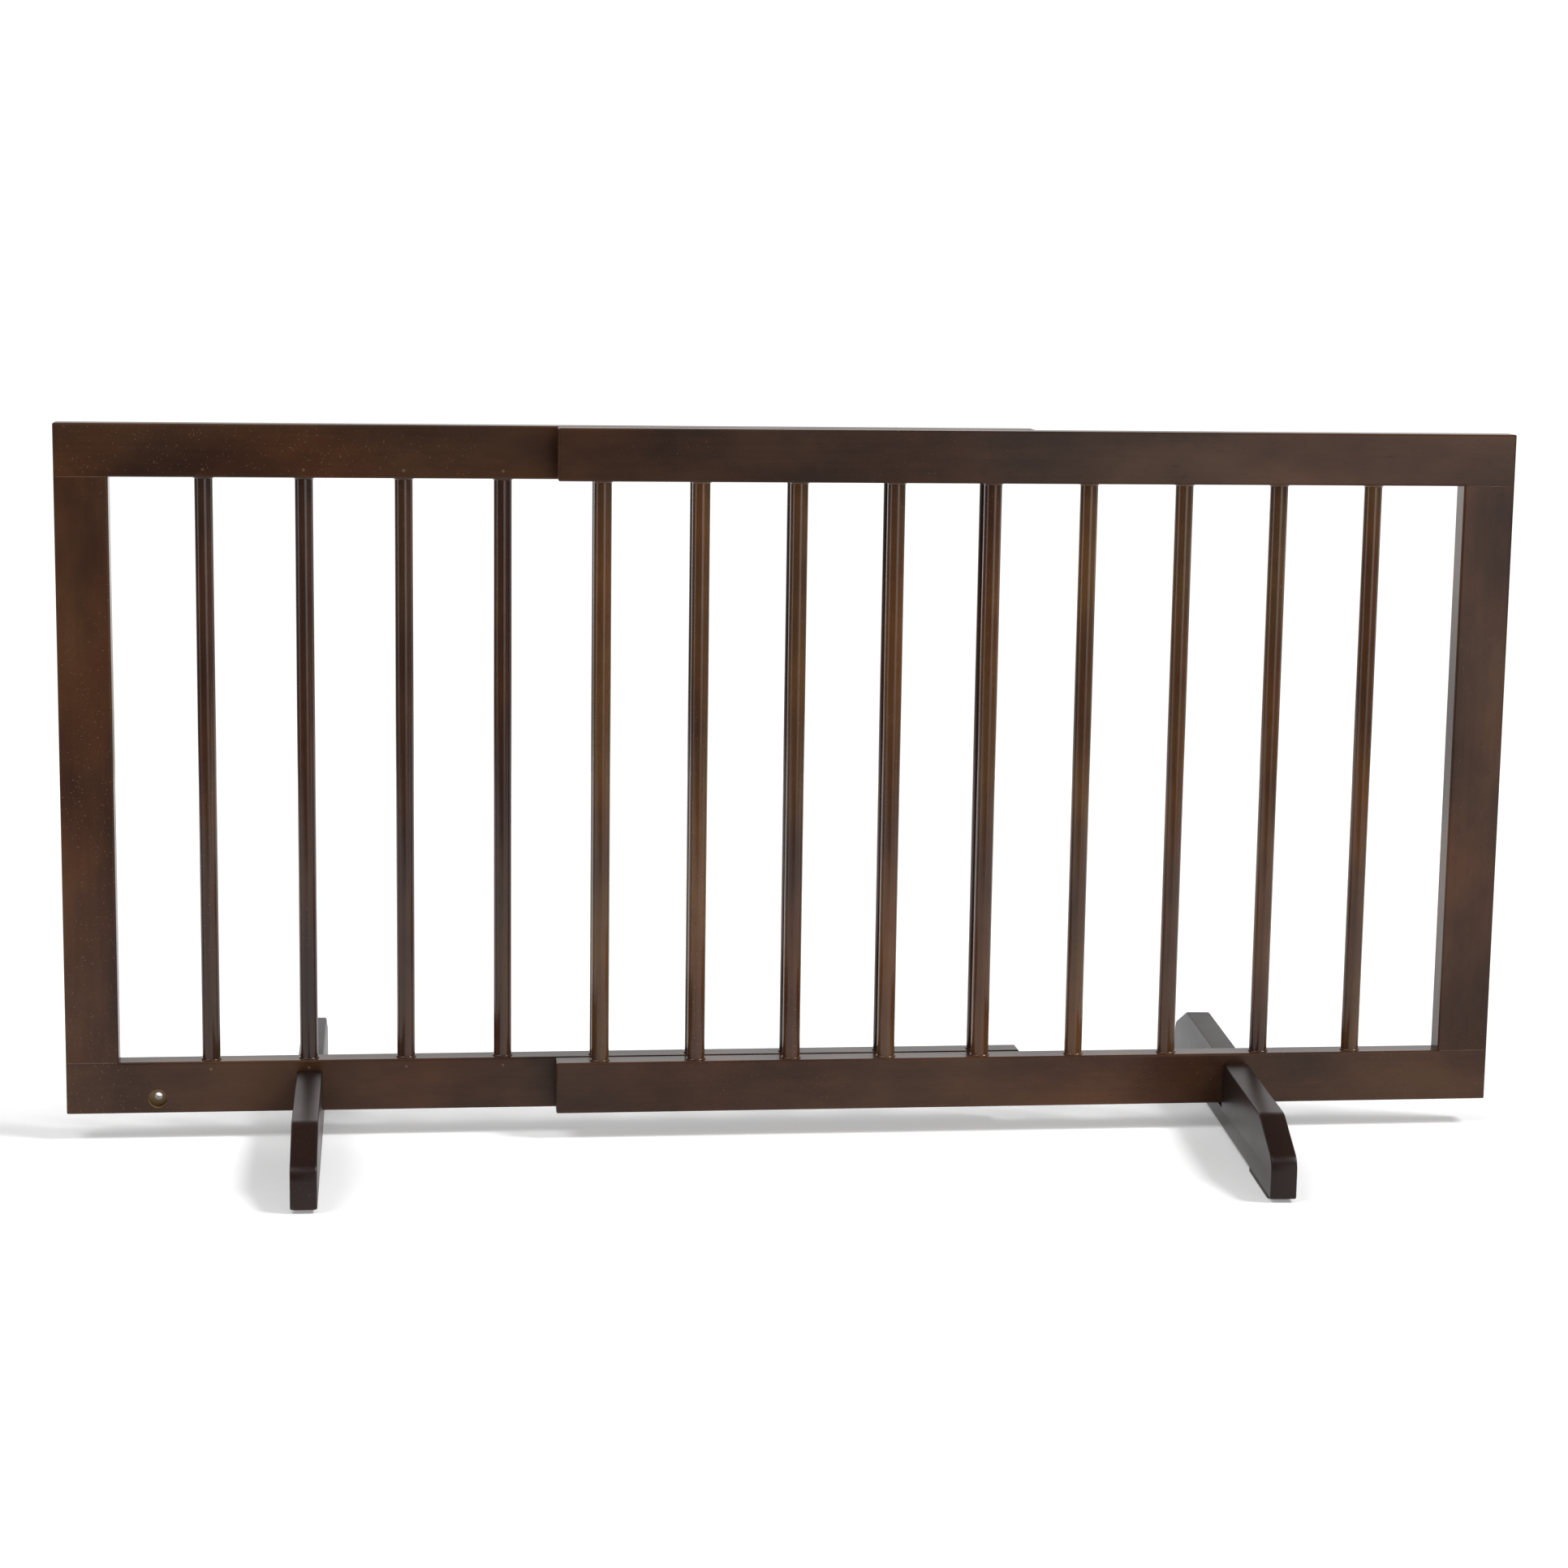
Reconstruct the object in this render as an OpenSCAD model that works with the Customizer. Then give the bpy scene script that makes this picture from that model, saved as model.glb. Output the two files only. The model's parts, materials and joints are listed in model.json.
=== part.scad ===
// Free-standing step-over gate: two barred wooden panels that slide past each other
// lengthways, each standing on one cross foot pushed onto its bottom rail.
//
// Frame: X runs along the gate, -Y is the front, +Z is up. The origin is on the floor,
// halfway along the gate and halfway between the two panels. All sizes are in millimetres.

/* [Gate] */
// Width of the gate as it stands, over both panels
gate_width = 1031; // [960:1:1200]
// Height from the floor to the top of the top rails
gate_height = 508; // [440:1:760]
// Clear space between the two panels, front to back
panel_gap = 1.5; // [1:0.1:4]

/* [Panels] */
// Length of each panel
panel_length = 685; // [680:1:720]
// Height of the rails and width of the end posts
rail_height = 37; // [36:1:44]
// Thickness of the boards that the rails, posts and feet are cut from
board_thickness = 18; // [17:0.5:22]
// Radius of the eased edges of rails and posts
edge_radius = 1.5; // [0.5:0.1:2]
// Diameter of a spindle
spindle_diameter = 12.7; // [10:0.1:13]
// Distance from one spindle's axis to the next
spindle_pitch = 69; // [60:0.5:69]
// Distance from the outer face of the end post to the first spindle's axis
first_spindle = 101.5; // [90:0.5:102]
// How deep a spindle's bore goes into a rail
spindle_bore_depth = 12; // [8:0.5:12]

/* [Joinery] */
// Diameter of the wooden dowels in the post joints
joint_dowel_diameter = 8; // [6:0.5:8]
// Length of the wooden dowels in the post joints
joint_dowel_length = 32; // [24:1:32]
// Distance between the two dowels in one post joint
joint_dowel_spacing = 19; // [14:0.5:20]
// Diameter of the brads that pin the spindles
brad_diameter = 1.2; // [0.8:0.1:1.6]
// Length of the brads that pin the spindles
brad_length = 15; // [10:0.5:16]
// Distance from a rail's inner edge to the line of brads
brad_inset = 5.5; // [4:0.5:8]

/* [Slide] */
// Distance from a rail's outer edge to the line of slots and screw holes
guide_inset = 10.5; // [10:0.1:11]
// Distance between the two guides on a rail
guide_spacing = 60; // [40:1:70]
// Distance from a panel's open end to the axis of the nearer guide
guide_end_inset = 18; // [16:1:24]
// Length of a guide
guide_length = 22; // [14:1:24]
// Height of the slot's narrow mouth
slot_mouth = 6.6; // [6:0.1:8]
// Height of the slot's wide pocket
slot_pocket = 13.2; // [12:0.1:13.2]
// Depth of the slot's mouth
slot_mouth_depth = 5; // [4:0.1:6]
// Depth of the slot's pocket, behind the mouth
slot_pocket_depth = 4.4; // [4.2:0.1:5]
// Solid wood left between the slot and the panel's open end
slot_stop = 8; // [4:0.5:9]
// Play of a guide in its slot, on each side
slide_play = 0.3; // [0.2:0.05:0.5]

/* [Screw holes] */
// Diameter of a counterbore
counterbore_diameter = 13.6; // [10:0.1:14]
// Depth of a counterbore
counterbore_depth = 8; // [5:0.5:9]
// Diameter of a screw's clearance hole
screw_hole_diameter = 5.2; // [4.2:0.1:5.6]
// Distance from the rear panel's outer end to its open screw hole
open_hole_x = 64; // [46:1:80]

/* [Feet] */
// Length of a foot, front to back
foot_length = 400; // [340:1:520]
// Length of the level part of a foot's top edge
foot_flat = 300; // [200:1:320]
// Height of a foot's wooden part
foot_height = 47; // [40:1:48]
// Height of a foot's upright ends
foot_end_height = 27; // [15:1:30]
// Radius where the level top turns into the slope
foot_top_radius = 20; // [5:1:60]
// Radius where the slope turns into the upright end
foot_end_radius = 12; // [3:1:14]
// Height from a foot's underside to the floor of its notch
notch_floor = 12.5; // [10:0.5:14]
// Play of a rail in the notch, on each side
notch_play = 0.8; // [0.7:0.05:1.2]
// Radius of the notch's rounded mouth
notch_mouth_radius = 4; // [1:0.5:5]
// Distance from the gate's left end to the left foot
left_foot_x = 171; // [165:0.5:175]
// Distance from the gate's right end to the right foot
right_foot_x = 189; // [170:0.5:200]
// Angle at which the right foot sits askew in its notch
right_foot_skew = 3.8; // [0:0.1:4]

/* [Pads] */
// Thickness of the non-slip pads under the feet
floor_pad_thickness = 2.5; // [1.5:0.1:4]
// Width of the non-slip pads
floor_pad_width = 17.5; // [10:0.5:18]
// Length of the non-slip pads
floor_pad_length = 72; // [40:1:90]
// Radius of the non-slip pads' corners
floor_pad_radius = 4; // [1:0.5:4.5]
// Distance from a foot's end to its pad
floor_pad_inset = 9; // [3:1:30]
// Thickness of the pad on the floor of a notch
rail_pad_thickness = 4; // [2:0.5:5]
// Width of the pad on the floor of a notch, across the foot's board
rail_pad_width = 12; // [8:0.5:16]

/* [Hidden] */
$fn = 48;
SPINDLES = 9;
// Glue clearance around dowels and spindles, on the radius
glue_gap = 0.05;
// Overcut that carries a hole past the face it opens on
past = 1;

walnut = [0.27, 0.19, 0.15];
dark_walnut = [0.22, 0.17, 0.15];
beech = [0.80, 0.66, 0.48];
nylon = [0.15, 0.15, 0.16];
steel = [0.70, 0.71, 0.73];
rubber = [0.36, 0.35, 0.34];

rail_base = floor_pad_thickness + notch_floor + rail_pad_thickness;
panel_height = gate_height - rail_base;
post_height = panel_height - 2 * rail_height;
top_rail_base = panel_height - rail_height;
rail_axis_y = (panel_gap + board_thickness) / 2;

slot_depth = slot_mouth_depth + slot_pocket_depth;
guide_neck_end = panel_gap + slot_mouth_depth + slide_play;
guide_depth = panel_gap + slot_depth - slide_play;
guide_inner_x = panel_length - guide_end_inset - guide_spacing;
guide_outer_x = panel_length - guide_end_inset;

screw_diameter = 4;
screw_head_diameter = 8;
screw_head_height = 3;
screw_recess = 1;
screw_length = board_thickness - counterbore_depth + 8;
guide_hole_depth = guide_depth - 1.5;

SPINDLE_NAMES = [for (i = [1:SPINDLES]) str("spindle_", i)];

// ---- Placing ----

// A panel's own frame: X from the post's outer face towards the open end, Y from the
// inner face (the one that meets the other panel) to the outer face, Z from the underside.
module in_rear_panel() {
    translate([-gate_width / 2, panel_gap / 2, rail_base]) children();
}

// The front panel is the rear one turned half a turn about the upright axis
module in_front_panel() {
    rotate([0, 0, 180]) in_rear_panel() children();
}

// A foot's own frame: X across its board, Y along it, Z from its underside
module in_left_foot() {
    translate([left_foot_x - gate_width / 2, rail_axis_y, floor_pad_thickness]) children();
}

module in_right_foot() {
    translate([gate_width / 2 - right_foot_x, -rail_axis_y, floor_pad_thickness])
        rotate([0, 0, -right_foot_skew])
            children();
}

function spindle_x(i) = first_spindle + (i - 1) * spindle_pitch;

// ---- Shapes ----

// Points of the arc that rounds the corner b, between its neighbours a and c
function corner_arc(a, b, c, r, steps = 8) =
    let(
        to_a = (a - b) / norm(a - b),
        to_c = (c - b) / norm(c - b),
        half = acos(to_a * to_c) / 2,
        middle = b + (to_a + to_c) / norm(to_a + to_c) * r / sin(half),
        start = b + to_a * r / tan(half) - middle,
        side = to_a[0] * to_c[1] - to_a[1] * to_c[0] > 0 ? -1 : 1,
        turn = side * (180 - 2 * half)
    )
    [for (k = [0:steps])
        let(angle = turn * k / steps)
        middle + [
            start[0] * cos(angle) - start[1] * sin(angle),
            start[0] * sin(angle) + start[1] * cos(angle)
        ]
    ];

// Outline through corners given as [x, y, radius]
function rounded_outline(corners) =
    let(n = len(corners))
    [for (i = [0:n - 1])
        let(
            a = corners[(i + n - 1) % n],
            b = corners[i],
            c = corners[(i + 1) % n]
        )
        each corner_arc([a[0], a[1]], [b[0], b[1]], [c[0], c[1]], b[2])
    ];

// Section of a board with eased edges, cornered on the origin
module board_section(width, thickness) {
    r = edge_radius;
    translate([r, 0]) square([width - 2 * r, thickness]);
    translate([0, r]) square([width, thickness - 2 * r]);
    for (x = [r, width - r], y = [r, thickness - r]) {
        translate([x, y]) circle(r);
    }
}

// A board that lies along X, from the origin, with all its edges eased
module eased_board(length, thickness, height) {
    intersection() {
        rotate([90, 0, 90]) linear_extrude(length) board_section(thickness, height);
        translate([0, thickness, 0]) rotate([90, 0, 0])
            linear_extrude(thickness) board_section(length, height);
        linear_extrude(height) board_section(length, thickness);
    }
}

// Bottom rail: its inner edge is up, and stays square where the end post stands on it
module bottom_rail_board() {
    seat = 2 * edge_radius;
    eased_board(panel_length, board_thickness, rail_height);
    translate([0, 0, rail_height - seat])
        linear_extrude(seat) board_section(rail_height, board_thickness);
}

// Top rail: the same board turned over
module top_rail_board() {
    translate([0, 0, panel_height]) mirror([0, 0, 1]) bottom_rail_board();
}

// Hole along Y that opens on both faces of a rail, with a counterbore on one of them
module screw_hole(x, z, counterbore_on_inner_face) {
    bore_y = counterbore_on_inner_face ? counterbore_depth : board_thickness - counterbore_depth;
    translate([x, -past, z]) rotate([-90, 0, 0]) {
        cylinder(d = screw_hole_diameter, h = board_thickness + 2 * past);
        if (counterbore_on_inner_face) {
            cylinder(d = counterbore_diameter, h = bore_y + past);
        } else {
            translate([0, 0, bore_y + past])
                cylinder(d = counterbore_diameter, h = counterbore_depth + past);
        }
    }
}

// Upright bores for the spindles and the post's joint dowels, from a rail's inner edge
// at height z, going down into the rail (down = true) or up into it
module inner_edge_bores(z, down) {
    dowel_depth = joint_dowel_length / 2 + 0.5;
    dowel_base = down ? z - dowel_depth : z - past;
    spindle_base = down ? z - spindle_bore_depth : z - past;
    for (i = [1:SPINDLES]) {
        translate([spindle_x(i), board_thickness / 2, spindle_base])
            cylinder(r = spindle_diameter / 2 + glue_gap, h = spindle_bore_depth + past);
    }
    for (side = [-1, 1]) {
        translate([rail_height / 2 + side * joint_dowel_spacing / 2, board_thickness / 2, dowel_base])
            cylinder(r = joint_dowel_diameter / 2 + glue_gap, h = dowel_depth + past);
    }
}

// Slot along a front rail's inner face, centred on height z: it runs out of the post end
// and stops short of the open end, where it holds the guides at full width
module slide_slot(z) {
    run = panel_length - slot_stop + past;
    translate([-past, -past, z - slot_mouth / 2]) cube([run, slot_mouth_depth + 2 * past, slot_mouth]);
    translate([-past, slot_mouth_depth, z - slot_pocket / 2]) cube([run, slot_pocket_depth, slot_pocket]);
}

// ---- Sub-parts of a panel, in the panel's own frame ----

module rear_top_rail() {
    color(walnut) in_rear_panel() difference() {
        top_rail_board();
        inner_edge_bores(top_rail_base, false);
        for (x = [guide_inner_x, guide_outer_x]) {
            screw_hole(x, panel_height - guide_inset, false);
        }
    }
}

module rear_bottom_rail() {
    color(walnut) in_rear_panel() difference() {
        bottom_rail_board();
        inner_edge_bores(rail_height, true);
        for (x = [guide_inner_x, guide_outer_x]) {
            screw_hole(x, guide_inset, false);
        }
        screw_hole(open_hole_x, guide_inset, true);
    }
}

module front_top_rail() {
    color(walnut) in_front_panel() difference() {
        top_rail_board();
        inner_edge_bores(top_rail_base, false);
        slide_slot(panel_height - guide_inset);
    }
}

module front_bottom_rail() {
    color(walnut) in_front_panel() difference() {
        bottom_rail_board();
        inner_edge_bores(rail_height, true);
        slide_slot(guide_inset);
    }
}

module end_post() {
    dowel_depth = joint_dowel_length / 2 + 0.5;
    color(walnut) difference() {
        translate([0, 0, rail_height])
            linear_extrude(post_height) board_section(rail_height, board_thickness);
        for (side = [-1, 1], z = [rail_height - past, top_rail_base - dowel_depth]) {
            translate([rail_height / 2 + side * joint_dowel_spacing / 2, board_thickness / 2, z])
                cylinder(r = joint_dowel_diameter / 2 + glue_gap, h = dowel_depth + past);
        }
    }
}

module spindle(i) {
    length = post_height + 2 * spindle_bore_depth - past;
    color(walnut)
        translate([spindle_x(i), board_thickness / 2, rail_height - spindle_bore_depth])
            cylinder(d = spindle_diameter, h = length);
}

module joint_dowels() {
    color(beech)
        for (side = [-1, 1], z = [rail_height, top_rail_base]) {
            translate([
                rail_height / 2 + side * joint_dowel_spacing / 2,
                board_thickness / 2,
                z - joint_dowel_length / 2
            ])
                cylinder(d = joint_dowel_diameter, h = joint_dowel_length);
        }
}

// One brad through the inner face into each end of each spindle, its head just below the face
module brads() {
    head_depth = 0.3;
    color(steel)
        for (i = [1:SPINDLES], z = [rail_height - brad_inset, top_rail_base + brad_inset]) {
            translate([spindle_x(i), head_depth, z])
                rotate([-90, 0, 0])
                    cylinder(d = brad_diameter, h = brad_length, $fn = 24);
        }
}

// ---- Slide hardware, on the rear panel ----

// T-shaped nylon block, screwed to the rear rail, that runs in the front rail's slot
module guide(x, z) {
    neck = slot_mouth - 2 * slide_play;
    head = slot_pocket - 2 * slide_play;
    color(nylon) in_rear_panel() translate([x, 0, z]) difference() {
        union() {
            translate([-guide_length / 2, -guide_neck_end, -neck / 2])
                cube([guide_length, guide_neck_end, neck]);
            translate([-guide_length / 2, -guide_depth, -head / 2])
                cube([guide_length, guide_depth - guide_neck_end, head]);
        }
        rotate([90, 0, 0]) translate([0, 0, -past])
            cylinder(d = screw_diameter + 2 * glue_gap, h = guide_hole_depth + past);
    }
}

// Pan-head machine screw with a cross recess, its head on the floor of the counterbore
module guide_screw(x, z) {
    recess_length = screw_head_diameter * 0.6;
    translate([x, board_thickness - counterbore_depth, z]) rotate([-90, 0, 0]) {
        translate([0, 0, -screw_length]) cylinder(d = screw_diameter, h = screw_length + past / 2);
        difference() {
            cylinder(d = screw_head_diameter, h = screw_head_height);
            for (angle = [0, 90]) {
                rotate([0, 0, angle])
                    translate([-recess_length / 2, -screw_recess / 2, screw_head_height / 2])
                        cube([recess_length, screw_recess, screw_head_height]);
            }
        }
    }
}

module guide_screws() {
    color(steel) in_rear_panel()
        for (x = [guide_inner_x, guide_outer_x], z = [guide_inset, panel_height - guide_inset]) {
            guide_screw(x, z);
        }
}

// ---- Sub-parts of a foot, in the foot's own frame ----

module foot() {
    end_y = foot_length / 2;
    flat_y = foot_flat / 2;
    notch_y = board_thickness / 2 + notch_play;
    small_radius = 1.5;
    outline = rounded_outline([
        [-end_y, 0, small_radius],
        [end_y, 0, small_radius],
        [end_y, foot_end_height, foot_end_radius],
        [flat_y, foot_height, foot_top_radius],
        [notch_y, foot_height, notch_mouth_radius],
        [notch_y, notch_floor, small_radius],
        [-notch_y, notch_floor, small_radius],
        [-notch_y, foot_height, notch_mouth_radius],
        [-flat_y, foot_height, foot_top_radius],
        [-end_y, foot_end_height, foot_end_radius]
    ]);
    color(dark_walnut)
        translate([-board_thickness / 2, 0, 0])
            rotate([90, 0, 90])
                linear_extrude(board_thickness)
                    polygon(outline);
}

// Pad on the notch's floor that the rail stands on, narrower than the foot's board
module rail_pad() {
    pad_y = board_thickness - 2;
    color(rubber)
        translate([-rail_pad_width / 2, -pad_y / 2, notch_floor])
            cube([rail_pad_width, pad_y, rail_pad_thickness]);
}

// Non-slip pad under one end of a foot: side is -1 for the front end, 1 for the rear end
module floor_pad(side) {
    half_width = floor_pad_width / 2;
    far_y = foot_length / 2 - floor_pad_inset;
    near_y = far_y - floor_pad_length;
    outline = rounded_outline([
        [-half_width, side * near_y, floor_pad_radius],
        [half_width, side * near_y, floor_pad_radius],
        [half_width, side * far_y, floor_pad_radius],
        [-half_width, side * far_y, floor_pad_radius]
    ]);
    color(rubber)
        translate([0, 0, -floor_pad_thickness])
            linear_extrude(floor_pad_thickness)
                polygon(outline);
}

// ---- Nodes ----

rear_top_rail();
rear_bottom_rail();
in_rear_panel() end_post();  // rear_end_post
for (i = [1:SPINDLES]) {
    in_rear_panel() spindle(i);
}
in_rear_panel() joint_dowels();  // rear_joint_dowels
in_rear_panel() brads();  // rear_brads
guide(guide_inner_x, panel_height - guide_inset);  // upper_inner_guide
guide(guide_outer_x, panel_height - guide_inset);  // upper_outer_guide
guide(guide_inner_x, guide_inset);  // lower_inner_guide
guide(guide_outer_x, guide_inset);  // lower_outer_guide
guide_screws();

front_top_rail();
front_bottom_rail();
in_front_panel() end_post();  // front_end_post
for (i = [1:SPINDLES]) {
    in_front_panel() spindle(i);
}
in_front_panel() joint_dowels();  // front_joint_dowels
in_front_panel() brads();  // front_brads

in_left_foot() foot();  // left_foot
in_left_foot() rail_pad();  // left_foot_rail_pad
in_left_foot() floor_pad(-1);  // left_foot_front_pad
in_left_foot() floor_pad(1);  // left_foot_rear_pad
in_right_foot() foot();  // right_foot
in_right_foot() rail_pad();  // right_foot_rail_pad
in_right_foot() floor_pad(-1);  // right_foot_front_pad
in_right_foot() floor_pad(1);  // right_foot_rear_pad
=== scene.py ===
"""Looks for the free-standing step-over gate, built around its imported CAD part.

Metres, same frame as the CAD: X along the gate, -Y the front, +Z up, the origin on the floor.
"""

import json
import math

import bmesh
import bpy
from mathutils import Matrix, Vector


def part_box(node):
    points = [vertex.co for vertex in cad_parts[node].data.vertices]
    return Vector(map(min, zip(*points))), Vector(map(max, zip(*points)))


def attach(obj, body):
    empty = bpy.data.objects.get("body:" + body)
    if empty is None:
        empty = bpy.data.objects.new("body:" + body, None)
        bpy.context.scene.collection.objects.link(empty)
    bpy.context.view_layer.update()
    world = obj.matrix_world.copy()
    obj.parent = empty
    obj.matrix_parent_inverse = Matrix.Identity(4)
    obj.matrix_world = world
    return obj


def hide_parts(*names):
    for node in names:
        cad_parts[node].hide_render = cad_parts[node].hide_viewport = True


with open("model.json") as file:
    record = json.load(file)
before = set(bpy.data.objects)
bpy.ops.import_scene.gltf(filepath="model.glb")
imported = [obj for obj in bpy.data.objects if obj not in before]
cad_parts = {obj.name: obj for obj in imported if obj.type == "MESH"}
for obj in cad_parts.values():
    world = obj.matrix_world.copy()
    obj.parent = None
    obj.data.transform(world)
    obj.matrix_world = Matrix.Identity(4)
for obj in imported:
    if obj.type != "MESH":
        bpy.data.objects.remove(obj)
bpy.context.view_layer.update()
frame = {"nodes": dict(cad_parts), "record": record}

# Parts of the CAD nodes' names
PANELS = ("rear", "front")
SPINDLES = range(1, 10)
FEET = ("left_foot", "right_foot")
GUIDES = ("upper_inner", "upper_outer", "lower_inner", "lower_outer")


# ---- Node helpers ----

# Sockets of Blender's Mix node when it mixes colours
MIX_FACTOR, MIX_FIRST, MIX_SECOND, MIX_RESULT = 0, 6, 7, 2


class Graph:
    """The node tree of a material or a world, built by naming what feeds what."""

    def __init__(self, owner, output):
        self.owner = owner
        owner.use_nodes = True
        self.tree = owner.node_tree
        self.tree.nodes.clear()
        self.output = self.add(output)

    def add(self, kind, inputs=(), **settings):
        """A new node with its inputs fed. The settings are the node's own attributes."""
        node = self.tree.nodes.new(kind)
        for key, value in settings.items():
            setattr(node, key, value)
        for key, value in dict(inputs).items():
            self.feed(node, key, value)
        return node

    def feed(self, node, key, value):
        """Links an input to a socket, or sets it to a plain value."""
        if isinstance(value, bpy.types.NodeSocket):
            self.tree.links.new(value, node.inputs[key])
        else:
            node.inputs[key].default_value = value

    def object_point(self):
        return self.add("ShaderNodeTexCoord").outputs["Object"]

    def scaled(self, point, scale, shift=(0, 0, 0)):
        node = self.add("ShaderNodeMapping", {"Vector": point, "Scale": scale, "Location": shift})
        return node.outputs["Vector"]

    def noise(self, point, scale, detail=2.0, roughness=0.5):
        """Cloudy pattern round 0.5. The scale is about how many features lie in a metre."""
        inputs = {"Vector": point, "Scale": scale, "Detail": detail, "Roughness": roughness}
        return self.add("ShaderNodeTexNoise", inputs).outputs["Fac"]

    def spread(self, value, low, high, to_low=0.0, to_high=1.0):
        """Stretches low to high over to_low to to_high, with soft ends."""
        inputs = {
            "Value": value,
            "From Min": low,
            "From Max": high,
            "To Min": to_low,
            "To Max": to_high,
        }
        return self.add("ShaderNodeMapRange", inputs, interpolation_type="SMOOTHSTEP").outputs["Result"]

    def maths(self, operation, first, second):
        node = self.add("ShaderNodeMath", {0: first, 1: second}, operation=operation)
        return node.outputs["Value"]

    def blend(self, factor, first, second, mode="MIX"):
        node = self.add("ShaderNodeMix", data_type="RGBA", blend_type=mode)
        self.feed(node, MIX_FACTOR, factor)
        self.feed(node, MIX_FIRST, first)
        self.feed(node, MIX_SECOND, second)
        return node.outputs[MIX_RESULT]

    def two_tone(self, pattern, dark, light):
        """Colour that goes from dark to light with a noise pattern."""
        return self.blend(self.spread(pattern, 0.3, 0.7), (*dark, 1), (*light, 1))

    def bump(self, height, distance, strength=1.0, normal=None):
        """Surface relief of the given depth in metres, on top of another relief if one is given."""
        inputs = {"Height": height, "Distance": distance, "Strength": strength}
        if normal is not None:
            inputs["Normal"] = normal
        return self.add("ShaderNodeBump", inputs).outputs["Normal"]

    def surface(self, **inputs):
        """Ends a material in a Principled shader and gives the material back."""
        named = {key.replace("_", " "): value for key, value in inputs.items()}
        shader = self.add("ShaderNodeBsdfPrincipled", named)
        self.feed(self.output, "Surface", shader.outputs["BSDF"])
        return self.owner


def material_graph(name):
    return Graph(bpy.data.materials.new(name), "ShaderNodeOutputMaterial")


def along(axis, share):
    """Scale that draws a texture out along one axis: with a share of a half, to twice its length."""
    return tuple(share if letter == axis else 1.0 for letter in "XYZ")


# ---- Materials ----

# Stains at their darkest, in the middle and at their lightest
RAIL_TONES = ((0.024, 0.0115, 0.0078), (0.049, 0.0230, 0.0130), (0.082, 0.0380, 0.0180))
POST_TONES = ((0.027, 0.0127, 0.0086), (0.056, 0.0258, 0.0146), (0.094, 0.0430, 0.0205))
SPINDLE_TONES = {
    "rear": ((0.023, 0.0105, 0.0075), (0.041, 0.0190, 0.0118), (0.068, 0.0330, 0.0165)),
    "front": ((0.034, 0.0145, 0.0090), (0.072, 0.0325, 0.0140), (0.120, 0.0595, 0.0215)),
}
FOOT_TONES = ((0.0065, 0.0028, 0.0022), (0.0120, 0.0050, 0.0039), (0.0185, 0.0078, 0.0058))
FILLER_TONES = ((0.07, 0.04, 0.025), (0.11, 0.065, 0.04), (0.16, 0.10, 0.065))
# The counterbore's paler end grain, made lighter still as painted light for the shaded inside of the hole
BORE_GRAIN_AND_PAINTED_LIGHT_TONES = ((0.16, 0.105, 0.045), (0.26, 0.18, 0.08), (0.36, 0.26, 0.12))

# Multiplies the stain where it is warmer
WARM_CAST = (1.16, 0.90, 0.72)
SPECK_COLOUR = (0.20, 0.13, 0.09)
# Pores against the darkest stain
PORE_SHADE = 0.4

# Shifts of the warm patches and of the specks' patches, so that neither follows the clouds
HUE_SHIFT, PATCH_SHIFT = (3.1, 1.7, 2.3), (1.7, 0.9, 2.6)

# Depth of the wood's relief and of the waves in the lacquer
GRAIN_DEPTH, FLOW_DEPTH = 0.00003, 0.00016

# Roughness of the film over the darkest and over the lightest stain
SATIN = (0.28, 0.2)
SPINDLE_GLOSS = (0.17, 0.12)
FOOT_GLOSS = (0.42, 0.32)


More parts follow.
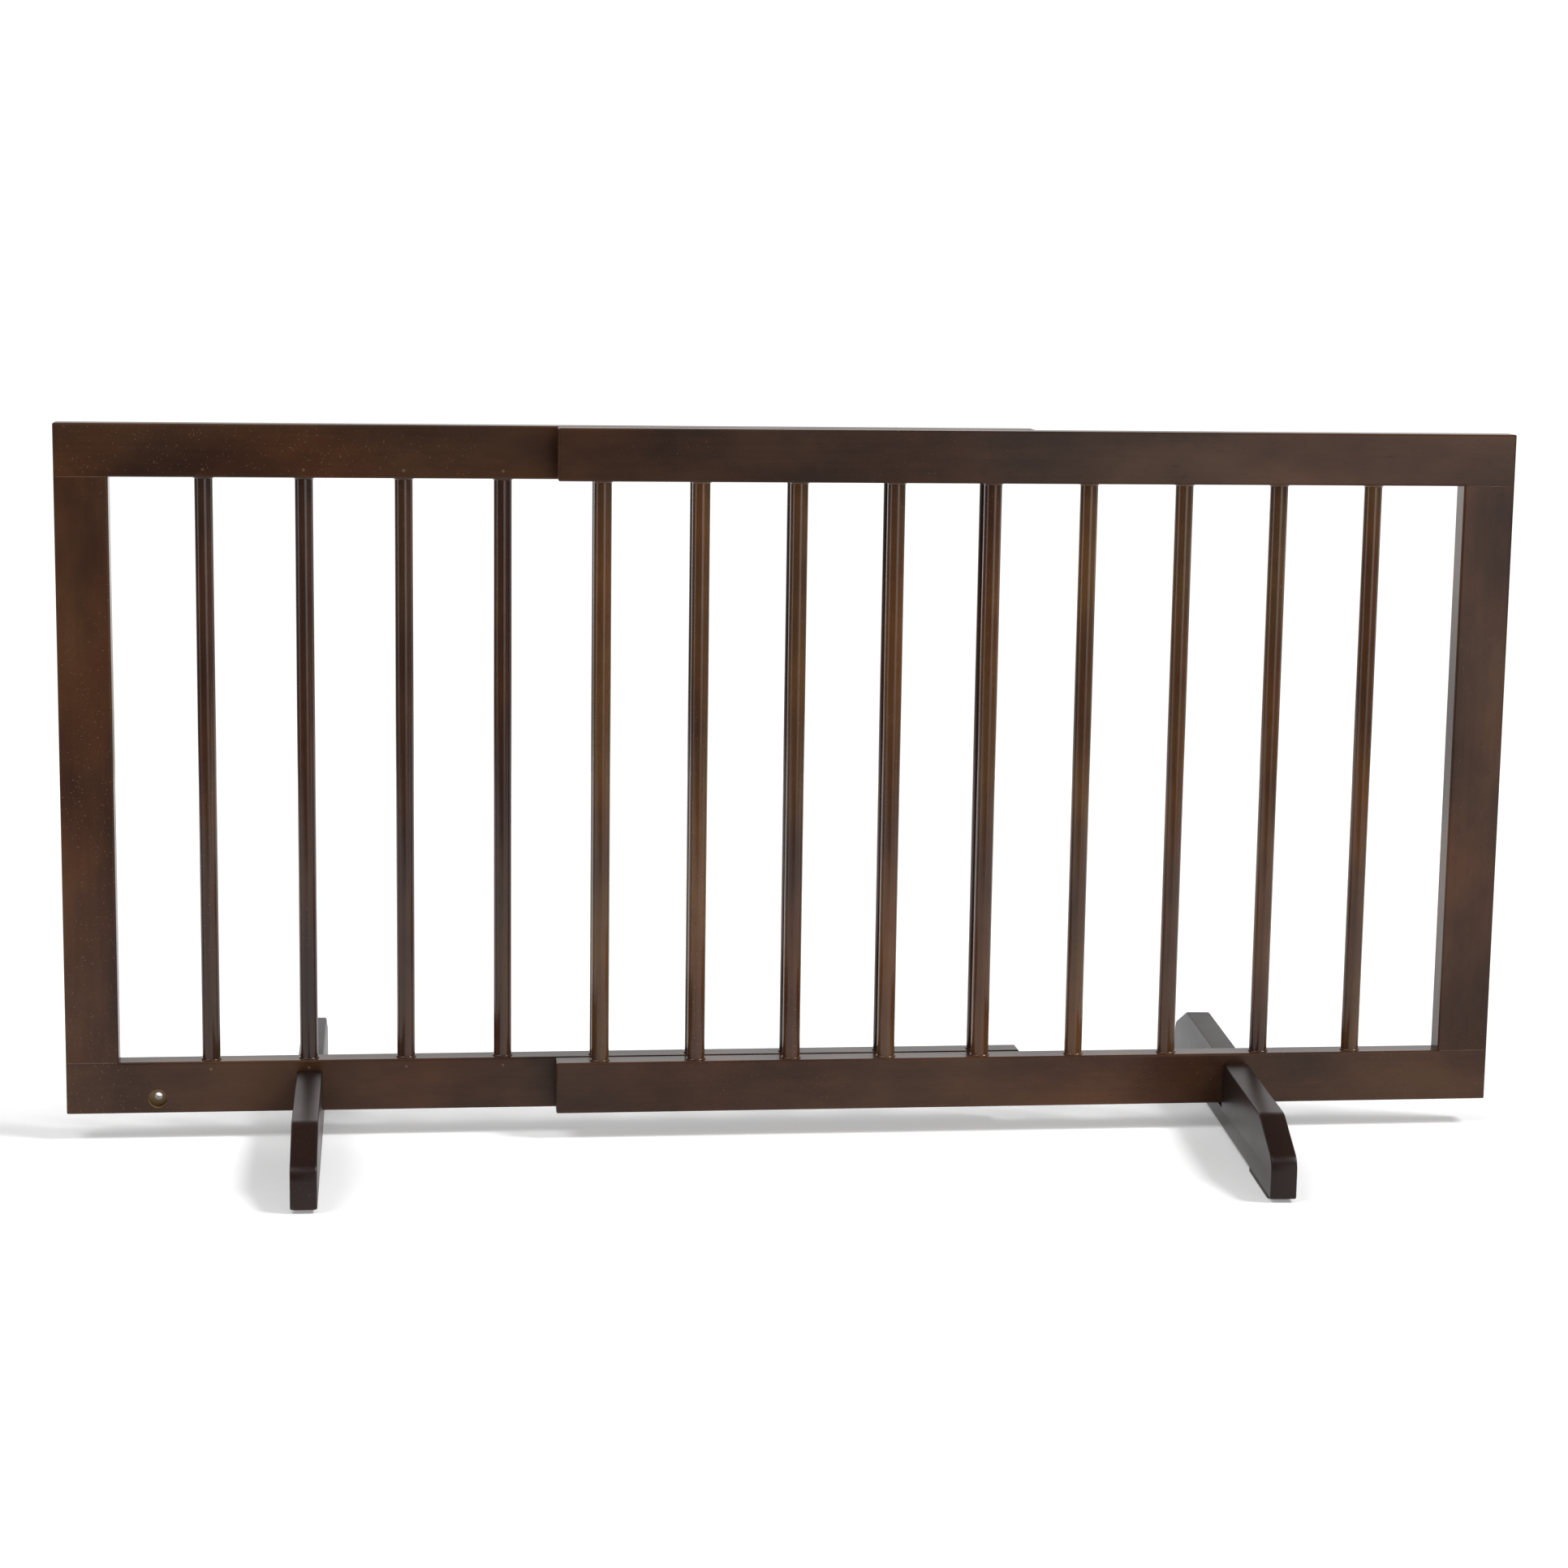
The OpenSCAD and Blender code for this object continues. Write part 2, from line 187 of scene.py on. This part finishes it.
def stained_wood(name, grain, tones, specular=0.19, gloss=SATIN, relief_strength=0.35):
    """Stained and lacquered hardwood: cloudy stain, fine straight grain, short pores, dust specks."""
    dark, middle, light = tones
    g = material_graph(name)
    point = g.object_point()
    cloud_point = g.scaled(point, along(grain, 0.5))
    hue_point = g.scaled(point, along(grain, 0.7), HUE_SHIFT)
    fibre_point = g.scaled(point, along(grain, 0.035))
    pore_point = g.scaled(point, along(grain, 0.12))
    patch_point = g.scaled(point, (1, 1, 1), PATCH_SHIFT)

    cloud = g.noise(cloud_point, 14.0, detail=4.0, roughness=0.55)
    hue = g.noise(hue_point, 9.0, detail=3.0)
    streak = g.noise(fibre_point, 330.0, detail=3.0, roughness=0.6)
    fibre = g.noise(fibre_point, 1500.0, roughness=0.6)
    pore = g.noise(pore_point, 1300.0, detail=1.0, roughness=0.4)
    nib = g.noise(point, 800.0, detail=0.0)
    nib_patch = g.spread(g.noise(patch_point, 7.0, detail=0.0), 0.5, 0.62)
    flow = g.noise(point, 90.0, detail=1.0)

    # Colour: the stain, its warmer patches, then pores and specks
    clouds = g.spread(cloud, 0.22, 0.78, to_high=0.9)
    tone = g.maths("ADD", clouds, g.spread(streak, 0.2, 0.8, to_high=0.1))
    lower = g.blend(g.spread(tone, 0.0, 0.55), (*dark, 1), (*middle, 1))
    stain = g.blend(g.spread(tone, 0.4, 1.0), lower, (*light, 1))
    warmth = g.spread(hue, 0.4, 0.68, to_high=0.7)
    stain = g.blend(warmth, stain, (*WARM_CAST, 1), "MULTIPLY")
    pore_colour = tuple(PORE_SHADE * channel for channel in dark)
    stain = g.blend(g.spread(pore, 0.70, 0.80, to_high=0.5), stain, (*pore_colour, 1))
    speck = g.maths("MULTIPLY", g.spread(nib, 0.75, 0.82, to_high=0.38), nib_patch)
    stain = g.blend(speck, stain, (*SPECK_COLOUR, 1))

    # Relief: fibre and streaks, less the pores, with the specks on top, under a film that flowed
    fibres = g.spread(fibre, 0.2, 0.8, to_high=0.5)
    relief = g.maths("ADD", fibres, g.spread(streak, 0.2, 0.8, to_high=0.5))
    relief = g.maths("SUBTRACT", relief, g.spread(pore, 0.68, 0.80, to_high=0.5))
    relief = g.maths("ADD", relief, g.spread(nib, 0.80, 0.86, to_high=0.9))
    wood_normal = g.bump(relief, GRAIN_DEPTH, relief_strength)

    return g.surface(
        Base_Color=stain,
        Roughness=g.spread(cloud, 0.2, 0.8, *gloss),
        Normal=g.bump(flow, FLOW_DEPTH, 0.4, wood_normal),
        Specular_IOR_Level=specular,
    )


def bare_wood(name):
    """Pale unfinished wood, its grain upright."""
    g = material_graph(name)
    streak = g.noise(g.scaled(g.object_point(), along("Z", 0.04)), 900.0, detail=3.0, roughness=0.6)
    return g.surface(
        Base_Color=g.two_tone(streak, (0.40, 0.25, 0.13), (0.62, 0.45, 0.27)),
        Roughness=g.spread(streak, 0.2, 0.8, 0.62, 0.48),
        Normal=g.bump(streak, 0.00005),
    )


def moulded_plastic(name):
    """Black nylon with the fine grain of its mould."""
    g = material_graph(name)
    point = g.object_point()
    tone = g.noise(point, 60.0)
    skin = g.noise(point, 2600.0, roughness=0.6)
    return g.surface(
        Base_Color=g.two_tone(tone, (0.014, 0.014, 0.015), (0.024, 0.024, 0.026)),
        Roughness=g.spread(tone, 0.3, 0.7, 0.38, 0.5),
        Normal=g.bump(skin, 0.00003, 0.6),
    )


def rubber(name):
    """Dull dark grey rubber with a rough skin."""
    g = material_graph(name)
    point = g.object_point()
    tone = g.noise(point, 90.0, detail=3.0)
    skin = g.noise(point, 1800.0, roughness=0.65)
    return g.surface(
        Base_Color=g.two_tone(tone, (0.040, 0.037, 0.035), (0.075, 0.070, 0.066)),
        Roughness=g.spread(skin, 0.2, 0.8, 0.7, 0.9),
        Normal=g.bump(skin, 0.00012, 0.8),
    )


def plated_steel(name):
    """Zinc-plated steel with fine scratches along the screws and brads."""
    g = material_graph(name)
    point = g.object_point()
    tone = g.noise(point, 300.0, detail=3.0)
    scratch = g.noise(g.scaled(point, along("Y", 0.05)), 4000.0)
    return g.surface(
        Base_Color=g.two_tone(tone, (0.50, 0.50, 0.52), (0.66, 0.66, 0.67)),
        Metallic=1.0,
        Roughness=g.spread(tone, 0.3, 0.7, 0.25, 0.42),
        Normal=g.bump(scratch, 0.00001, 0.5),
    )


def white_floor(name):
    """Studio paper, lit a little from within so that only the shadows show."""
    g = material_graph(name)
    tone = g.noise(g.object_point(), 1.5)
    return g.surface(
        Base_Color=g.two_tone(tone, (0.86, 0.86, 0.865), (0.90, 0.90, 0.90)),
        Roughness=0.45,
        Specular_IOR_Level=0.3,
        Emission_Color=(1.0, 1.0, 1.0, 1),
        Emission_Strength=0.24,
    )


rail_wood = stained_wood("rail_wood", "X", RAIL_TONES)
post_wood = stained_wood("post_wood", "Z", POST_TONES)
spindle_wood = {
    panel: stained_wood(f"{panel}_spindle_wood", "Z", tones, specular=0.36, gloss=SPINDLE_GLOSS)
    for panel, tones in SPINDLE_TONES.items()
}
foot_wood = stained_wood(
    "foot_wood", "Y", FOOT_TONES, specular=0.25, gloss=FOOT_GLOSS, relief_strength=1.0
)
filler_wood = stained_wood("filler_wood", "X", FILLER_TONES)
# Partly the end grain's own paler colour, partly painted light: lightened to stand in for light inside the
# shaded hole
bore_grain_and_painted_light = stained_wood("bore_grain_and_painted_light", "Z", BORE_GRAIN_AND_PAINTED_LIGHT_TONES)
dowel_wood = bare_wood("dowel_wood")
guide_nylon = moulded_plastic("guide_nylon")
pad_rubber = rubber("pad_rubber")
screw_steel = plated_steel("screw_steel")


def coat(node, material):
    """Gives every material slot of a CAD node one material."""
    for slot in frame["nodes"][node].material_slots:
        slot.material = material


for panel in PANELS:
    for rail in ("top_rail", "bottom_rail"):
        coat(f"{panel}_{rail}", rail_wood)
    coat(f"{panel}_end_post", post_wood)
    for number in SPINDLES:
        coat(f"{panel}_spindle_{number}", spindle_wood[panel])
    coat(f"{panel}_joint_dowels", dowel_wood)
    coat(f"{panel}_brads", screw_steel)
for guide in GUIDES:
    coat(f"{guide}_guide", guide_nylon)
coat("guide_screws", screw_steel)
for foot in FEET:
    for pad in ("rail_pad", "front_pad", "rear_pad"):
        coat(f"{foot}_{pad}", pad_rubber)


# ---- Mesh helpers ----

# Edges sharper than this stay sharp under smooth shading
CREASE = math.radians(35)


def neighbours(items):
    """Each item with the one after it, and the last with the first."""
    return list(zip(items, items[1:] + items[:1]))


def join_loops(work, first, second):
    """Faces between two closed loops with as many vertices each."""
    for (a, b), (c, d) in zip(neighbours(first), neighbours(second)):
        work.faces.new((a, b, d, c))


def lathe(work, centre, profile, steps=40):
    """Ring turned about the upright line through centre. The profile is closed, [radius, height]."""
    rings = []
    for step in range(steps):
        angle = math.tau * step / steps
        rings.append([
            work.verts.new((centre[0] + r * math.cos(angle), centre[1] + r * math.sin(angle), centre[2] + h))
            for r, h in profile
        ])
    for ring, following in neighbours(rings):
        join_loops(work, following, ring)


def into_mesh(work, name):
    """Finished mesh, smooth shaded and with its faces turned outwards. Frees the work."""
    bmesh.ops.recalc_face_normals(work, faces=work.faces)
    for face in work.faces:
        face.smooth = True
    mesh = bpy.data.meshes.new(name)
    work.to_mesh(mesh)
    work.free()
    return mesh


def make_piece(name, mesh, material, body):
    """Puts a mesh in the scene as a piece that moves with its body."""
    piece = bpy.data.objects.new(name, mesh)
    bpy.context.scene.collection.objects.link(piece)
    mesh.materials.clear()
    mesh.materials.append(material)
    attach(piece, body)
    return piece


# ---- Pieces ----

# Rounding of a foot's arrises, and the angle from which an edge is one
FOOT_ARRIS, FOOT_ARRIS_STEPS, ARRIS_ANGLE = 0.0013, 4, math.radians(50)
# Vertices nearer than this are one, and edges flatter than this go
SAME_PLACE, FLAT_ANGLE = 1e-6, math.radians(0.5)


def eased_foot(node):
    """The foot's own shape with its long arrises rounded, as sanding and lacquer leave them."""
    work = bmesh.new()
    work.from_mesh(frame["nodes"][node].data)
    bmesh.ops.remove_doubles(work, verts=work.verts, dist=SAME_PLACE)
    bmesh.ops.dissolve_limit(work, angle_limit=FLAT_ANGLE, verts=work.verts, edges=work.edges)
    arrises = [edge for edge in work.edges if edge.is_manifold and edge.calc_face_angle() > ARRIS_ANGLE]
    bmesh.ops.bevel(
        work,
        geom=arrises,
        offset=FOOT_ARRIS,
        segments=FOOT_ARRIS_STEPS,
        profile=0.5,
        affect="EDGES",
        clamp_overlap=True,
    )
    for face in work.faces:
        face.smooth = True
    mesh = bpy.data.meshes.new(f"{node}_board")
    work.to_mesh(mesh)
    work.free()
    mesh.set_sharp_from_angle(angle=CREASE)
    piece = make_piece(f"{node}_board", mesh, foot_wood, node)
    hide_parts(node)


BEAD_WIDTH, BEAD_RISE = 0.0009, 0.0012
# How far a bead is sunk into the spindle and the rail, so that no gap shows
BEAD_SUNK = 0.0002


def lacquer_beads(panel, rail, up):
    """Bead of lacquer round each spindle where it enters a rail, on the rail's top or underside."""
    rail_low, rail_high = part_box(f"{panel}_{rail}")
    face_z = rail_high.z if up else rail_low.z
    work = bmesh.new()
    for number in SPINDLES:
        low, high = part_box(f"{panel}_spindle_{number}")
        middle = (low + high) / 2
        radius = (high.x - low.x) / 2
        profile = [
            (radius - BEAD_SUNK, -BEAD_SUNK),
            (radius + BEAD_WIDTH, -BEAD_SUNK),
            (radius + BEAD_WIDTH, 0.0),
            (radius + BEAD_WIDTH * 0.85, BEAD_RISE * 0.45),
            (radius + BEAD_WIDTH * 0.45, BEAD_RISE * 0.8),
            (radius, BEAD_RISE),
            (radius - BEAD_SUNK, BEAD_RISE),
        ]
        if not up:
            profile = [(r, -h) for r, h in profile]
        lathe(work, (middle.x, middle.y, face_z), profile)
    name = f"{panel}_{rail}_lacquer_beads"
    make_piece(name, into_mesh(work, name), spindle_wood[panel], f"{panel}_panel")


# A dot of filler from its root to its dimpled middle: its radius, and how far it stands out
FILLER_DOT = ((0.00105, -0.0001), (0.00105, 0.00002), (0.0008, 0.00007), (0.0004, 0.00003))
FILLER_STEPS = 16
# Half the CAD brads' thickness, which their box reaches past the line of brads
BRAD_RADIUS = 0.0006


def brad_fillers(panel):
    """Dots of filler over the brads, a hair proud of the face towards the other panel."""
    low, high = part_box(f"{panel}_bottom_rail")
    face_y, outward = (low.y, -1) if panel == "rear" else (high.y, 1)
    brads_low, brads_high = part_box(f"{panel}_brads")
    angles = [math.tau * step / FILLER_STEPS for step in range(FILLER_STEPS)]
    work = bmesh.new()
    for number in SPINDLES:
        spindle_low, spindle_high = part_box(f"{panel}_spindle_{number}")
        x = (spindle_low.x + spindle_high.x) / 2
        for z in (brads_low.z + BRAD_RADIUS, brads_high.z - BRAD_RADIUS):
            rings = []
            for radius, proud in FILLER_DOT:
                y = face_y + outward * proud
                rings.append([
                    work.verts.new((x + radius * math.cos(angle), y, z + radius * math.sin(angle)))
                    for angle in angles
                ])
            for ring, following in zip(rings, rings[1:]):
                join_loops(work, ring, following)
            work.faces.new(rings[0])
            work.faces.new(rings[-1])
    name = f"{panel}_brad_fillers"
    make_piece(name, into_mesh(work, name), filler_wood, f"{panel}_panel")


SEAM_HALF_WIDTH, SEAM_PROUD, SEAM_SUNK = 0.00022, 0.00006, 0.0002
# A seam stops short of the post's edges, which are rounded by this much
POST_ARRIS = 0.0015


def joint_seams(panel):
    """Fine ridge of lacquer along the post joints, on both faces of the panel."""
    low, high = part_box(f"{panel}_end_post")
    # Height and outward step of the ridge's corners
    section = (
        (-SEAM_HALF_WIDTH, -SEAM_SUNK),
        (SEAM_HALF_WIDTH, -SEAM_SUNK),
        (SEAM_HALF_WIDTH, 0.0),
        (0.0, SEAM_PROUD),
        (-SEAM_HALF_WIDTH, 0.0),
    )
    work = bmesh.new()
    for z in (low.z, high.z):
        for y, outward in ((low.y, -1), (high.y, 1)):
            ends = [
                [work.verts.new((x, y + outward * step, z + height)) for height, step in section]
                for x in (low.x + POST_ARRIS, high.x - POST_ARRIS)
            ]
            join_loops(work, *ends)
            for end in ends:
                work.faces.new(end)
    name = f"{panel}_joint_seams"
    make_piece(name, into_mesh(work, name), filler_wood, f"{panel}_panel")


COUNTERBORE_RADIUS = 0.0068
LINING_THICKNESS = 0.00012
# Clear of the wood behind the lining, and of the counterbore's mouth
LINING_GAP, LINING_INSET = 0.00002, 0.0006


def bore_lining_with_painted_light():
    """Paler end grain inside the open counterbore, lightened further as painted light for the hole's shaded
    inside: a thin skin on its wall and its floor.
    """
    name = "open_hole_painted_light_lining"
    mount = next(m for m in frame["record"]["mounts"] if m["name"] == "open_screw_hole")
    x, _, z = mount["pos_m"]
    low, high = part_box("rear_bottom_rail")
    narrow = mount["dims"]["r_mm"] / 1000
    depth = high.y - low.y - mount["dims"]["length_mm"] / 1000
    profile = [
        (COUNTERBORE_RADIUS - LINING_GAP, LINING_INSET),
        (COUNTERBORE_RADIUS - LINING_GAP, depth - LINING_GAP),
        (narrow, depth - LINING_GAP),
        (narrow, depth - LINING_THICKNESS),
        (COUNTERBORE_RADIUS - LINING_THICKNESS, depth - LINING_THICKNESS),
        (COUNTERBORE_RADIUS - LINING_THICKNESS, LINING_INSET),
    ]
    work = bmesh.new()
    lathe(work, (0, 0, 0), profile, steps=48)
    into_hole = Matrix.Translation((x, low.y, z)) @ Matrix.Rotation(-math.pi / 2, 4, "X")
    bmesh.ops.transform(work, matrix=into_hole, verts=work.verts)
    mesh = into_mesh(work, name)
    mesh.set_sharp_from_angle(angle=CREASE)
    make_piece(name, mesh, bore_grain_and_painted_light, "rear_panel")


for foot in FEET:
    eased_foot(foot)
for panel in PANELS:
    lacquer_beads(panel, "bottom_rail", up=True)
    lacquer_beads(panel, "top_rail", up=False)
    brad_fillers(panel)
    joint_seams(panel)
bore_lining_with_painted_light()


# ---- Stage ----


def make_floor(half_width=1.6, front=-1.0, back=1.6):
    """White sheet under the gate. Past its edges the camera sees plain white anyway."""
    corners = [(-half_width, front, 0), (half_width, front, 0), (half_width, back, 0), (-half_width, back, 0)]
    mesh = bpy.data.meshes.new("floor")
    mesh.from_pydata(corners, [], [(0, 1, 2, 3)])
    mesh.materials.append(white_floor("floor_white"))
    floor = bpy.data.objects.new("floor", mesh)
    bpy.context.scene.collection.objects.link(floor)


# Brightness of the studio round the gate, by degrees from straight in front: above 0 on the right
AROUND = (
    (-180, 1.45), (-170, 1.4), (-163, 1.9), (-152, 1.9), (-138, 0.3), (-94, 0.2), (-86, 2.8), (-76, 2.8),
    (-66, 0.16), (6, 0.12), (13, 3.0), (27, 3.0), (40, 0.3), (98, 0.4), (104, 2.0), (110, 2.0), (118, 0.4),
    (146, 0.5), (160, 1.6), (172, 1.6), (180, 1.45),
)
# What that is multiplied by, by the sine of the angle above the horizon
ABOVE = (
    (-1.0, 0.3), (-0.15, 0.3), (-0.1, 1.0), (-0.02, 1.0), (0.03, 0.45), (0.12, 0.45), (0.2, 0.8),
    (0.4, 0.8), (0.62, 0.07), (1.0, 0.05),
)
# At least the highest value of both tables, as a colour ramp ends at 1
BRIGHTEST = 4.0
BACKDROP_STRENGTH = 1.1


def brightness(g, value, low, high, stops):
    """Brightness read from stops laid out between low and high."""
    share = g.maths("DIVIDE", g.maths("SUBTRACT", value, low), high - low)
    ramp = g.add("ShaderNodeValToRGB", {"Fac": share})
    elements = ramp.color_ramp.elements
    while len(elements) < len(stops):
        elements.new(1.0)
    for element, (place, bright) in zip(elements, stops):
        element.position = (place - low) / (high - low)
        element.color = (bright / BRIGHTEST,) * 3 + (1,)
    return g.maths("MULTIPLY", ramp.outputs["Color"], BRIGHTEST)


def make_world():
    """Studio that the gate reflects: white behind it, upright strips of light round the front, dim
    overhead. The camera itself sees plain white."""
    world = bpy.data.worlds.new("studio")
    bpy.context.scene.world = world
    g = Graph(world, "ShaderNodeOutputWorld")
    towards = g.add("ShaderNodeTexCoord").outputs["Generated"]
    split = g.add("ShaderNodeSeparateXYZ", {"Vector": towards}).outputs
    bearing = g.maths("ARCTAN2", split["X"], g.maths("MULTIPLY", split["Y"], -1.0))
    degrees = g.maths("MULTIPLY", bearing, 180 / math.pi)
    around = brightness(g, degrees, -180, 180, AROUND)
    above = brightness(g, split["Z"], -1, 1, ABOVE)

    white = (1.0, 1.0, 1.0, 1)
    studio = {"Color": white, "Strength": g.maths("MULTIPLY", around, above)}
    backdrop = {"Color": white, "Strength": BACKDROP_STRENGTH}
    shaders = {
        "Fac": g.add("ShaderNodeLightPath").outputs["Is Camera Ray"],
        1: g.add("ShaderNodeBackground", studio).outputs["Background"],
        2: g.add("ShaderNodeBackground", backdrop).outputs["Background"],
    }
    g.feed(g.output, "Surface", g.add("ShaderNodeMixShader", shaders).outputs["Shader"])


def make_lamp(name, azimuth, elevation, strength, spread):
    """A far softbox: azimuth 0 is in front of the gate, 90 on its right. Angles in degrees."""
    data = bpy.data.lights.new(name, "SUN")
    data.energy = strength
    data.angle = math.radians(spread)
    lamp = bpy.data.objects.new(name, data)
    turn, rise = math.radians(azimuth), math.radians(elevation)
    towards = Vector((math.sin(turn) * math.cos(rise), -math.cos(turn) * math.cos(rise), math.sin(rise)))
    lamp.rotation_mode = "QUATERNION"
    lamp.rotation_quaternion = (-towards).to_track_quat("-Z", "Y")
    bpy.context.scene.collection.objects.link(lamp)


LENS_MM, SENSOR_MM = 76.957, 36.0
CAMERA_PLACE = (-0.28381, -2.34748, 0.65089)
# Radians: turned to the right, looking down, and rolled
CAMERA_TURN, CAMERA_DIP, CAMERA_ROLL = -0.11749, 0.16620, 0.01444


def make_camera():
    """Long lens, to the left of the middle and a little above the gate."""
    data = bpy.data.cameras.new("camera")
    data.lens = LENS_MM
    data.sensor_width = SENSOR_MM
    camera = bpy.data.objects.new("camera", data)
    turn = Matrix.Rotation(CAMERA_TURN, 4, "Z")
    tilt = Matrix.Rotation(math.pi / 2 - CAMERA_DIP, 4, "X")
    roll = Matrix.Rotation(CAMERA_ROLL, 4, "Z")
    camera.matrix_world = Matrix.Translation(CAMERA_PLACE) @ turn @ tilt @ roll
    bpy.context.scene.collection.objects.link(camera)
    bpy.context.scene.camera = camera


make_floor()
make_world()
make_lamp("right_softbox", azimuth=75, elevation=52, strength=2.3, spread=16)
make_lamp("left_softbox", azimuth=-70, elevation=60, strength=1.1, spread=30)
make_lamp("front_softbox", azimuth=-5, elevation=62, strength=0.2, spread=20)
make_camera()
bpy.context.scene.view_settings.view_transform = "Standard"
